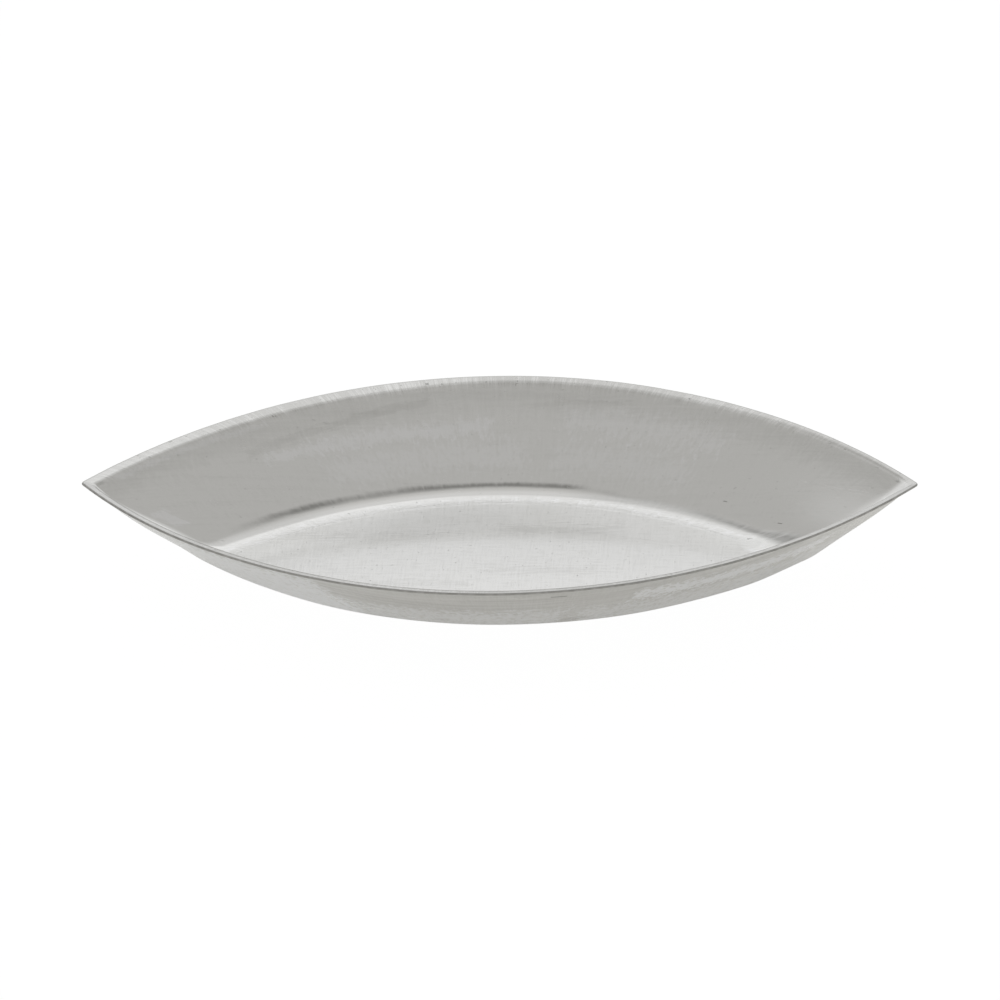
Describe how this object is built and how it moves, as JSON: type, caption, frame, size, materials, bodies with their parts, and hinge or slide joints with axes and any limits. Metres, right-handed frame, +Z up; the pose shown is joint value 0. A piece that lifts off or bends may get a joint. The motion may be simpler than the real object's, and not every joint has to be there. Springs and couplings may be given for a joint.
{
  "type": "boat-shaped tartlet mould",
  "caption": "Shallow boat-shaped baking mould pressed from tinned sheet steel, pointed at both ends, with sloping plain walls, a flat floor and a narrow flared lip.",
  "frame": {"origin": "centre of the flat underside of the floor", "axes": "+X along the length towards one point, +Y across the width, +Z up, out of the open side"},
  "size_m": [0.11, 0.048, 0.0129],
  "materials": {
    "tinplate": "satin rolled tinplate, lightly scuffed"
  },
  "bodies": {
    "root": {"pressed_shell": "tinplate"}
  },
  "joints": []
}
